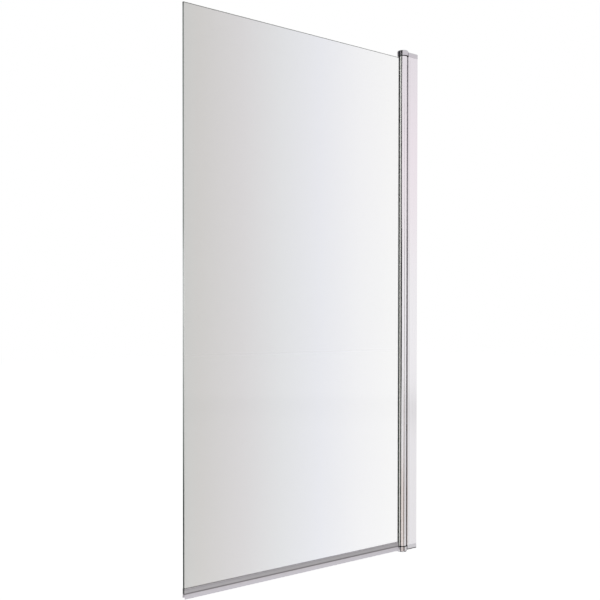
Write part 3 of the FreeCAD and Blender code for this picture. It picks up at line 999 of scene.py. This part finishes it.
@dataclass
class CapScrews:
    """The four screws that hold the caps, each with a cross recess in its low head."""

    head_radius: float = 3.2 * MM
    head_height: float = 1.6 * MM
    head_rounding: float = 0.5 * MM
    shank: float = 1.75 * MM
    length: float = 28 * MM
    recess_long: float = 3.4 * MM
    recess_wide: float = 0.75 * MM
    recess_deep: float = 1 * MM

    def dress(self) -> None:
        """Model one screw, set out the four as one piece and give it its finish."""
        low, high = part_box("cap_screws")
        x, y, top = (low.x + high.x) / 2, high.y - self.head_radius, high.z
        screw = drum("cap_screw_set", self.head_radius, (x, y, top - self.head_height),
                     (x, y, top), BORE_SIDES)
        bevel_edges(screw, lambda at, way: abs(at.z - top) < NEAR, self.head_rounding, 3)
        work(screw, Cut.ADD, drum("shank_tool", self.shank, (x, y, top - self.length),
                                  (x, y, top - self.head_height / 2), HOLE_SIDES))
        long, wide = self.recess_long / 2, self.recess_wide / 2
        for across, along in ((long, wide), (wide, long)):
            work(screw, Cut.REMOVE,
                 block("recess_tool", (x - across, y - along, top - self.recess_deep),
                       (x + across, y + along, top + PAST)))
        smooth(screw)
        screws = [screw, copied(screw, location=(0, -2 * y, 0))]
        screws += [copied(one, rotation_euler=OVER) for one in screws]
        join(screw, screws[1:])
        place_on(screw, Side.WALL, STAINLESS, "cap_screws")


@dataclass
class WallProfile:
    """The channel against the wall and the post in it, with edges eased as polishing leaves them.

    Each row of three holes has its radius and how far its outer holes are from the middle one.
    """

    edge: float = 0.25 * MM
    half: float = 15 * MM
    wall: float = 1.5 * MM
    base: float = 2 * MM
    fixing_holes: Spot = (2.6 * MM, 600 * MM)
    side_holes: Spot = (2.1 * MM, 500 * MM)

    def channel(self) -> Piece:
        """Model the wall channel, with its fixing holes and the holes for the side screws.

        Returns:
            The channel.
        """
        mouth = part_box("wall_channel")[0].x
        inner, past_end = self.half - self.wall, CHANNEL_END + PAST
        channel = block("wall_channel_shell", (mouth, -self.half, -CHANNEL_END),
                        (0.0, self.half, CHANNEL_END))
        work(channel, Cut.REMOVE, block("channel_tool", (mouth - PAST, -inner, -past_end),
                                        (-self.base, inner, past_end)))
        low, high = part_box("screw_cover_caps")
        side_x = (low.x + high.x) / 2
        for step in (-1, 0, 1):
            radius, reach = self.fixing_holes
            z = step * reach
            work(channel, Cut.REMOVE, drum("fixing_tool", radius, (-self.base - PAST, 0, z),
                                           (PAST, 0, z), HOLE_SIDES))
            radius, reach = self.side_holes
            z = step * reach
            work(channel, Cut.REMOVE, drum("side_tool", radius, (side_x, inner - PAST, z),
                                           (side_x, self.half + PAST, z), HOLE_SIDES))
        ease_edges(channel, self.edge)
        return channel

    def post(self) -> Piece:
        """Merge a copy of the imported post, so that its flat faces are whole and shade as such.

        Returns:
            The post.
        """
        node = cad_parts["hinge_post"]
        post = bpy.data.objects.new("hinge_post_shell", node.data.copy())
        bpy.context.scene.collection.objects.link(post)
        post.data.materials.clear()
        open_mesh(post)
        pick_all()
        bpy.ops.mesh.remove_doubles(threshold=0.001 * MM)
        bpy.ops.mesh.dissolve_limited(angle_limit=math.radians(1))
        close_mesh()
        bpy.ops.mesh.customdata_custom_splitnormals_clear()
        smooth(post, 25.0)
        return post

    def dress(self) -> None:
        """Model the channel and the post and give them their finish."""
        place_on(self.channel(), Side.WALL, POLISHED_ALUMINIUM, "wall_channel")
        place_on(self.post(), Side.WALL, POLISHED_ALUMINIUM, "hinge_post")


@dataclass
class PackedPieces:
    """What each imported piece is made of, also where a modelled piece stands for it."""

    finishes: tuple[tuple[Finish, tuple[str, ...]], ...] = (
        (POLISHED_ALUMINIUM, ("wall_channel", "hinge_post", "pivot_barrel")),
        (CHROME, ("screw_cover_caps", "top_cap", "bottom_cap")),
        (STAINLESS, ("side_fixing_screws", "cap_screws", "top_pivot_pin", "bottom_pivot_pin")),
        (WIPER_RUBBER, ("cradle_wiper_front", "cradle_wiper_rear")),
        (CLEAR_GLASS, ("glass_panel",)),
        (CLEAR_VINYL, ("bottom_seal",)),
        (GLAZING_GASKET, ("glazing_gasket_front",)),
        (SHADED_GLAZING_WEDGE, ("glazing_gasket_rear",)),
        (BLACK_NYLON, ("top_end_plug", "bottom_end_plug")),
        (ACETAL, ("glass_setting_block", "top_pivot_bush", "bottom_pivot_bush",
                  "top_thrust_washer", "bottom_thrust_washer")),
    )

    def dress(self) -> None:
        """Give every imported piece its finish."""
        for finish, names in self.finishes:
            for name in names:
                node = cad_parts[name]
                node.data.materials.clear()
                node.data.materials.append(finish.material())
                log.info("%s: packed piece in %s", name, finish.name)


# ---- the studio ----

@dataclass(frozen=True)
class Flag:
    """A card round the hinge that only mirror-like surfaces show.

    Its azimuth and width are in degrees as seen from the hinge, with 0 towards -Y and 90 towards
    +X. Its foot and head are heights, and its distance is from the hinge.
    """

    name: str
    azimuth: float
    width: float
    foot: float
    head: float
    tone: str
    distance: float = 3.0

    def stand(self) -> Piece:
        """Stand the card in its place.

        Returns:
            The card.
        """
        turn = math.radians(self.azimuth)
        way = Vector((math.sin(turn), -math.cos(turn), 0))
        hinge = Vector((PIVOT_X, 0, (self.foot + self.head) / 2))
        width = 2 * self.distance * math.tan(math.radians(self.width) / 2)
        return panel(self.name, hinge + way * self.distance, (math.pi / 2, 0, turn),
                     (width, self.head - self.foot))


# The heights past which only the caps show a flag, and that of the ceiling and of the floor.
LOW, HIGH, CEILING, GROUND = -1.46, 1.57, 12.0, -2.05
FLAGS = (
    Flag("mauve_flag_high", 0.0, 6.0, 0.5, 1.3, "#A9A3A6"),
    Flag("mauve_flag_middle", 10.0, 13.0, -0.5, 0.5, "#9C9799"),
    Flag("sand_flag_middle", 10.5, 25.0, -1.34, -0.66, "#ADA5A0", 5.0),
    Flag("sand_flag_low", 6.0, 38.0, -2.09, -1.34, "#9A8F88", 5.0),
    Flag("pale_sand_flag_low", -38.0, 40.0, GROUND, -0.95, "#EFE5DE", 3.1),
    Flag("dark_flag_left_head", -71.5, 43.0, HIGH, CEILING, "#242323"),
    Flag("dark_flag_left_high", -79.0, 28.0, 1.2, HIGH, "#242323"),
    Flag("dark_flag_left", -76.25, 33.5, 0.5, 1.2, "#1C1B1B"),
    Flag("dark_flag_left_middle", -71.25, 43.5, -0.5, 0.5, "#1C1B1B"),
    Flag("dark_flag_left_low", -76.25, 33.5, LOW, -0.5, "#242322"),
    Flag("dark_flag_left_foot", -67.0, 18.0, GROUND, LOW, "#242322"),
    Flag("dark_flag_far_left", -129.5, 61.0, LOW, CEILING, "#2A2E30"),
    Flag("dark_flag_rear", 92.5, 47.0, LOW, HIGH, "#19181B"),
    Flag("dark_flag_bath", 158.0, 20.0, GROUND, 3.0, "#262B26"),
)


@dataclass
class Studio:
    """A white room: plain pale floor, a soft lamp, cards that only mirrors show, and the camera.

    The tones are what mirrors show of the walls, by height, and of the floor, by distance. Each
    bath card has its name, its middle and its size.
    """

    floor_level: float = -2.1
    floor_size: float = 80.0
    floor_paint: str = "#E6E6E6"
    floor_glow: float = 0.515
    room_light: float = 0.62
    lamp_power: float = 60.0
    lamp_at: Point = (-1.7, -2.7, 2.2)
    lamp_aim: Point = (-0.4, 0.0, 0.0)
    lamp_size: float = 2.2
    camera_at: Point = (-1.95802, -1.84199, -0.04609)
    yaw: float = 39.7336
    pitch: float = 0.832
    roll: float = 0.0534
    lens: float = 55.11
    lift: float = 0.05215
    clip: Spot = (0.05, 200.0)
    wall_tones: Stops = (
        (0.0, "#FFFFFF"), (0.04, "#FFFFFF"), (0.1, "#FFFAFC"), (0.18, "#FDF5F9"),
        (0.27, "#F3EFF2"), (0.6, "#F0F0F0"),
    )
    floor_tones: Stops = (
        (0.0, "#E6E6E5"), (0.1, "#EBEBEA"), (0.18, "#F3F3F3"), (0.2, "#DBDAD9"),
        (0.225, "#BDBCBB"), (0.255, "#BDBCBB"), (0.275, "#FFFFFF"),
    )
    bath_cards: tuple[tuple[str, Spot, Spot], ...] = (
        ("dark_card_beyond", (2.0, -0.5), (2.6, 5.0)),
        ("dark_card_below", (-0.25, -0.15), (1.3, 1.2)),
    )
    bath_lift: float = 50 * MM
    bath_tone: str = "#2B2826"

    def bright_rays(self, tree: Tree) -> Socket:
        """Tell the rays that show the backdrop from those that light the screen.

        Args:
            tree: the node tree.

        Returns:
            The socket, which is one for the first and zero for the others.
        """
        path = add_node(tree, "LightPath")
        seen = add_node(tree, "Math", {"operation": "MAXIMUM"},
                        {0: path.outputs["Is Camera Ray"], 1: path.outputs["Is Glossy Ray"]})
        every = add_node(tree, "Math", {"operation": "MAXIMUM"},
                         {0: seen.outputs[0], 1: path.outputs["Is Transmission Ray"]})
        return every.outputs[0]

    def mirrored_tone(self, tree: Tree, value: Socket, stops: Stops) -> Socket:
        """Shade what mirrors show, and leave it white for every other ray.

        Args:
            tree: the node tree.
            value: a height or distance, from 0 to 1.
            stops: places on it and their hex codes, in order.

        Returns:
            The colour socket.
        """
        tone = ramp(tree, value, stops)
        path = add_node(tree, "LightPath")
        # Rays that pass through clear glass count as glossy too, so those are taken off.
        mirrored = add_node(tree, "Math", {"operation": "SUBTRACT", "use_clamp": True},
                            {0: path.outputs["Is Glossy Ray"],
                             1: path.outputs["Is Transmission Ray"]})
        both = add_node(tree, "Mix", {"data_type": "RGBA", 6: (1, 1, 1, 1)},
                        {0: mirrored.outputs[0], 7: tone})
        return both.outputs[2]

    def room(self) -> None:
        """Light the scene from all round, in front of a white backdrop."""
        world = bpy.data.worlds.new("white_room")
        bpy.context.scene.world = world
        world.use_nodes = True
        tree = world.node_tree
        tree.nodes.clear()
        strength = add_node(tree, "MapRange", {"To Min": self.room_light},
                            {"Value": self.bright_rays(tree)})
        place = add_node(tree, "TexCoord")
        parts = add_node(tree, "SeparateXYZ", links={0: place.outputs["Generated"]})
        tone = self.mirrored_tone(tree, parts.outputs["Z"], self.wall_tones)
        light = add_node(tree, "Background",
                         links={"Color": tone, "Strength": strength.outputs[0]})
        add_node(tree, "OutputWorld", links={"Surface": light.outputs[0]})

    def floor(self) -> None:
        """Lay a plain pale floor well below the screen, which keeps the screen's shadow."""
        ground = fresh("floor", bpy.ops.mesh.primitive_plane_add, size=self.floor_size,
                       location=(0, 0, self.floor_level))
        paint, tree = new_material("pale_floor_paint")
        matt = add_node(tree, "BsdfDiffuse", {"Color": colour(self.floor_paint)})
        place = add_node(tree, "TexCoord")
        out = add_node(tree, "VectorMath", {"operation": "LENGTH"},
                       {0: place.outputs["Object"]})
        share = add_node(tree, "Math", {"operation": "DIVIDE", 1: self.floor_size},
                         {0: out.outputs["Value"]})
        tone = self.mirrored_tone(tree, share.outputs[0], self.floor_tones)
        glow = add_node(tree, "Emission", {"Strength": self.floor_glow},
                        {"Color": tone})
        both = add_node(tree, "AddShader", links={0: matt.outputs[0], 1: glow.outputs[0]})
        kept = add_node(tree, "MixShader",
                        links={0: self.bright_rays(tree), 1: matt.outputs[0], 2: both.outputs[0]})
        add_node(tree, "OutputMaterial", links={"Surface": kept.outputs[0]})
        ground.data.materials.append(paint)

    def lamp(self) -> None:
        """Hang one large soft lamp in front, above and to the left."""
        data = bpy.data.lights.new("soft_lamp", "AREA")
        data.energy, data.size = self.lamp_power, self.lamp_size
        lamp = bpy.data.objects.new("soft_lamp", data)
        bpy.context.scene.collection.objects.link(lamp)
        lamp.location = self.lamp_at
        aim = Vector(self.lamp_aim) - Vector(self.lamp_at)
        lamp.rotation_mode = "QUATERNION"
        lamp.rotation_quaternion = aim.to_track_quat("-Z", "Y")
        lamp.visible_glossy = False

    def show_to_mirrors(self, card: Piece, code: str) -> None:
        """Give a card one flat tone and hide it from all but mirror rays.

        Args:
            card: the card.
            code: the hex code of its tone.
        """
        paint, tree = new_material(card.name + "_cloth")
        glow = add_node(tree, "Emission", {"Color": colour(code), "Strength": 1.0})
        add_node(tree, "OutputMaterial", links={"Surface": glow.outputs[0]})
        card.data.materials.append(paint)
        card.visible_camera = card.visible_diffuse = card.visible_transmission = False
        card.visible_shadow = card.visible_volume_scatter = False

    def cards(self) -> None:
        """Set out the cards that give the metal its dark and grey bands.

        The flags stand round the hinge. The bath cards lie about where a bath would be, and only
        the rounded lower edges mirror them.
        """
        for flag in FLAGS:
            self.show_to_mirrors(flag.stand(), flag.tone)
        for name, middle, size in self.bath_cards:
            at = (*middle, self.floor_level + self.bath_lift)
            self.show_to_mirrors(panel(name, at, (0, 0, 0), size), self.bath_tone)

    def camera(self) -> None:
        """Set the camera where the photograph was taken from."""
        data = bpy.data.cameras.new("camera")
        data.lens, data.shift_y = self.lens, self.lift
        data.clip_start, data.clip_end = self.clip
        camera = bpy.data.objects.new("camera", data)
        bpy.context.scene.collection.objects.link(camera)
        camera.location = self.camera_at
        turn = (Matrix.Rotation(-math.radians(self.yaw), 3, "Z")
                @ Matrix.Rotation(math.radians(90 - self.pitch), 3, "X")
                @ Matrix.Rotation(math.radians(self.roll), 3, "Z"))
        camera.rotation_mode = "QUATERNION"
        camera.rotation_quaternion = turn.to_quaternion()
        bpy.context.scene.camera = camera

    def set_up(self) -> None:
        """Set up the whole studio."""
        bpy.context.scene.view_settings.view_transform = "Standard"
        for part in (self.room, self.floor, self.lamp, self.cards, self.camera):
            part()


def main() -> None:
    """Build the screen piece by piece and set up the studio."""
    logging.basicConfig(level=logging.INFO, format="%(name)s: %(message)s")
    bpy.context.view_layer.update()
    Studio().set_up()
    for piece in (PackedPieces(), PivotBarrel(), EndCaps(), GlassPane(), FootSeal(),
                  ScrewCovers(), CapScrews(), WallProfile()):
        piece.dress()


if __name__ == "__main__":
    main()
